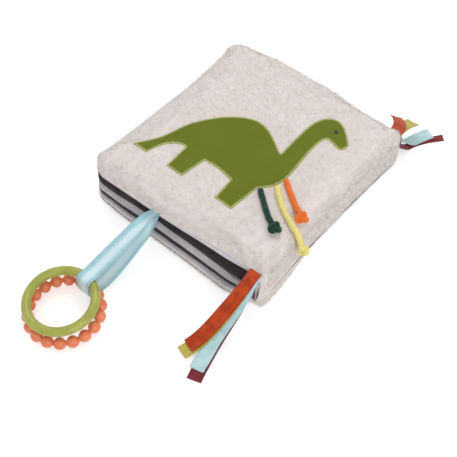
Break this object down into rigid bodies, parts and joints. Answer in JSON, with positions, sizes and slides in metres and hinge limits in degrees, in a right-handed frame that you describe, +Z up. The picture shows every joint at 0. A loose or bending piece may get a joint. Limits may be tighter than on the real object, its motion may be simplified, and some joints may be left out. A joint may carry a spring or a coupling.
{
  "type": "crinkle cloth book",
  "caption": "Padded square cloth book for a baby: plush covers, crackling padded pages, felt dinosaur with belly cords, ribbon tufts, and teether rings on a ribbon loop.",
  "frame": {"origin": "middle of the covers' plan on the underside of the closed book", "axes": "+X from the open fore-edge to the spine, +Y from the tail edge to the head edge, so the dinosaur on the cover stands with its back towards +Y, +Z up"},
  "size_m": [0.181, 0.3485, 0.0482],
  "materials": {
    "plush_cream": "short plush pile, matt",
    "page_light": "plain woven, matt",
    "page_black": "plain woven, matt",
    "wadding_white": "loose polyester fill",
    "film_clear": "thin crackling film",
    "felt_green": "felt, matt",
    "stitch_olive": "dense satin stitch, slight sheen",
    "eye_dark": "embroidered, slight sheen",
    "cord_green": "soft knitted cord, matt",
    "cord_yellow": "soft knitted cord, matt",
    "cord_orange": "soft knitted cord, matt",
    "ribbon_orange": "ribbed ribbon, matt",
    "ribbon_olive": "ribbed ribbon, matt",
    "ribbon_blue": "satin ribbon, sheen",
    "ribbon_maroon": "ribbed ribbon, matt",
    "ring_green": "smooth moulded, satin gloss",
    "ring_coral": "smooth moulded, satin"
  },
  "bodies": {
    "back_cover": {"back_plush": "plush_cream", "back_wadding": "wadding_white", "back_crinkle_film": "film_clear", "back_lining": "page_light"},
    "spine": {"spine_plush": "plush_cream", "spine_wadding": "wadding_white", "spine_lining": "page_light"},
    "front_cover": {"front_plush": "plush_cream", "front_wadding": "wadding_white", "front_crinkle_film": "film_clear", "front_lining": "page_light", "dinosaur_applique": "felt_green", "dinosaur_stitch_border": "stitch_olive", "dinosaur_eye": "eye_dark", "green_string": "cord_green", "green_string_knot": "cord_green", "yellow_string": "cord_yellow", "yellow_string_knot": "cord_yellow", "orange_string": "cord_orange", "orange_string_knot": "cord_orange"},
    "leaf_1": {"leaf_1_upper_page": "page_black", "leaf_1_lower_page": "page_light", "leaf_1_wadding": "wadding_white", "leaf_1_crinkle_film": "film_clear"},
    "leaf_2": {"leaf_2_upper_page": "page_light", "leaf_2_lower_page": "page_black", "leaf_2_wadding": "wadding_white", "leaf_2_crinkle_film": "film_clear"},
    "ring_loop": {"ring_loop_ribbon": "ribbon_blue"},
    "smooth_teether": {"smooth_ring": "ring_green"},
    "bead_teether": {"bead_ring": "ring_coral"},
    "tail_tuft": {"tail_orange_ribbon": "ribbon_orange", "tail_olive_ribbon": "ribbon_olive", "tail_blue_ribbon": "ribbon_blue", "tail_maroon_ribbon": "ribbon_maroon"},
    "head_tuft": {"head_orange_ribbon": "ribbon_orange", "head_olive_ribbon": "ribbon_olive", "head_blue_ribbon": "ribbon_blue", "head_maroon_ribbon": "ribbon_maroon"}
  },
  "joints": [
    {"name": "spine_fold", "type": "hinge", "parent": "back_cover", "child": "spine", "pos_m": [0.0788, 0, 0.0022], "axis": [0, 1, 0], "range_deg": [0, 90]},
    {"name": "cover_fold", "type": "hinge", "parent": "spine", "child": "front_cover", "pos_m": [0.07837, 0, 0.03734], "axis": [0, 1, 0], "range_deg": [0, 90]},
    {"name": "leaf_1_turn", "type": "hinge", "parent": "spine", "child": "leaf_1", "pos_m": [0.0736, 0, 0.02682], "axis": [0, 1, 0], "range_deg": [0, 60]},
    {"name": "leaf_2_turn", "type": "hinge", "parent": "spine", "child": "leaf_2", "pos_m": [0.0736, 0, 0.01138], "axis": [0, 1, 0], "range_deg": [-60, 0]},
    {"name": "loop_swing", "type": "hinge", "parent": "front_cover", "child": "ring_loop", "pos_m": [-0.0155, -0.08814, 0.0307], "axis": [-1, 0, 0], "range_deg": [0, 85]},
    {"name": "smooth_ring_turn", "type": "hinge", "parent": "ring_loop", "child": "smooth_teether", "pos_m": [-0.0215, -0.1782, 0.01419], "axis": [0, -0.0698, 0.9976], "continuous": true},
    {"name": "bead_ring_turn", "type": "hinge", "parent": "ring_loop", "child": "bead_teether", "pos_m": [-0.0187, -0.1793, 0.005], "axis": [0, -0.0234, 0.9997], "continuous": true},
    {"name": "tail_tuft_swing", "type": "hinge", "parent": "front_cover", "child": "tail_tuft", "pos_m": [0.074, -0.0832, 0.0343], "axis": [-1, 0, 0], "range_deg": [0, 85]},
    {"name": "head_tuft_swing", "type": "hinge", "parent": "front_cover", "child": "head_tuft", "pos_m": [0.074, 0.0898, 0.0343], "axis": [1, 0, 0], "range_deg": [0, 85]}
  ],
  "couplings": [
    {"joint": "spine_fold", "follows": "cover_fold", "ratio": 1},
    {"joint": "leaf_1_turn", "follows": "cover_fold", "ratio": 0.6666},
    {"joint": "leaf_2_turn", "follows": "cover_fold", "ratio": -0.6666}
  ]
}
